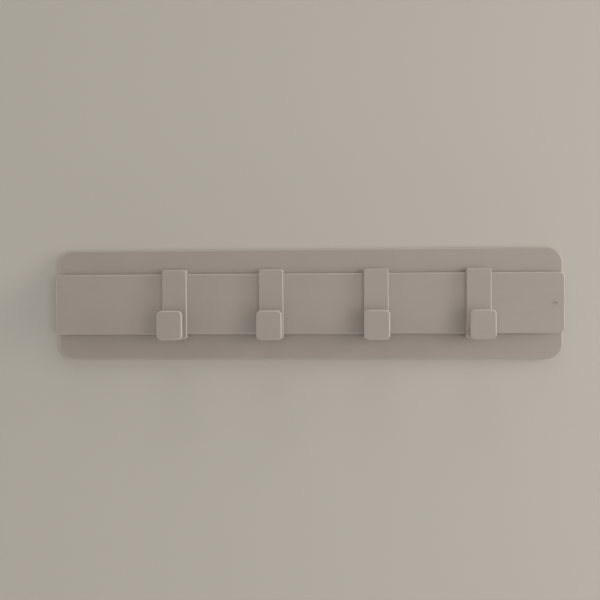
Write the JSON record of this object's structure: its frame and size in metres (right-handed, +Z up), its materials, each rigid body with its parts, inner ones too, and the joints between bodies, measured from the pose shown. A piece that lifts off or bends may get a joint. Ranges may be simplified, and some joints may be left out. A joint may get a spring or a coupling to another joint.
{
  "type": "adhesive hook rack",
  "caption": "Adhesive wall rack: a flat rail on a broad rounded back plate, with sliding hooks that wrap the rail and end in square front pads.",
  "frame": {"origin": "on the wall's surface, at the middle of the centre adhesive pad's back face", "axes": "+X along the rail to the right as seen from the room, +Y into the wall, +Z up"},
  "size_m": [0.3802, 0.033, 0.0832],
  "materials": {
    "moulded_plastic": "matte",
    "foam_tape": "matte",
    "screw_steel": "satin"
  },
  "bodies": {
    "root": {"base_plate": "moulded_plastic", "hook_rail": "moulded_plastic", "rail_screws": "screw_steel", "stop_pin": "moulded_plastic", "adhesive_pad_left": "foam_tape", "adhesive_pad_centre": "foam_tape", "adhesive_pad_right": "foam_tape"},
    "hook_1": {"hook_1": "moulded_plastic"},
    "hook_2": {"hook_2": "moulded_plastic"},
    "hook_3": {"hook_3": "moulded_plastic"},
    "hook_4": {"hook_4": "moulded_plastic"}
  },
  "joints": [
    {"name": "hook_1_slide", "type": "slide", "parent": "root", "child": "hook_1", "axis": [1, 0, 0], "range_m": [-0.0767, 0.0269]},
    {"name": "hook_2_slide", "type": "slide", "parent": "root", "child": "hook_2", "axis": [1, 0, 0], "range_m": [-0.0269, 0.0296]},
    {"name": "hook_3_slide", "type": "slide", "parent": "root", "child": "hook_3", "axis": [1, 0, 0], "range_m": [-0.0296, 0.0283]},
    {"name": "hook_4_slide", "type": "slide", "parent": "root", "child": "hook_4", "axis": [1, 0, 0], "range_m": [-0.0283, 0.0458]}
  ]
}
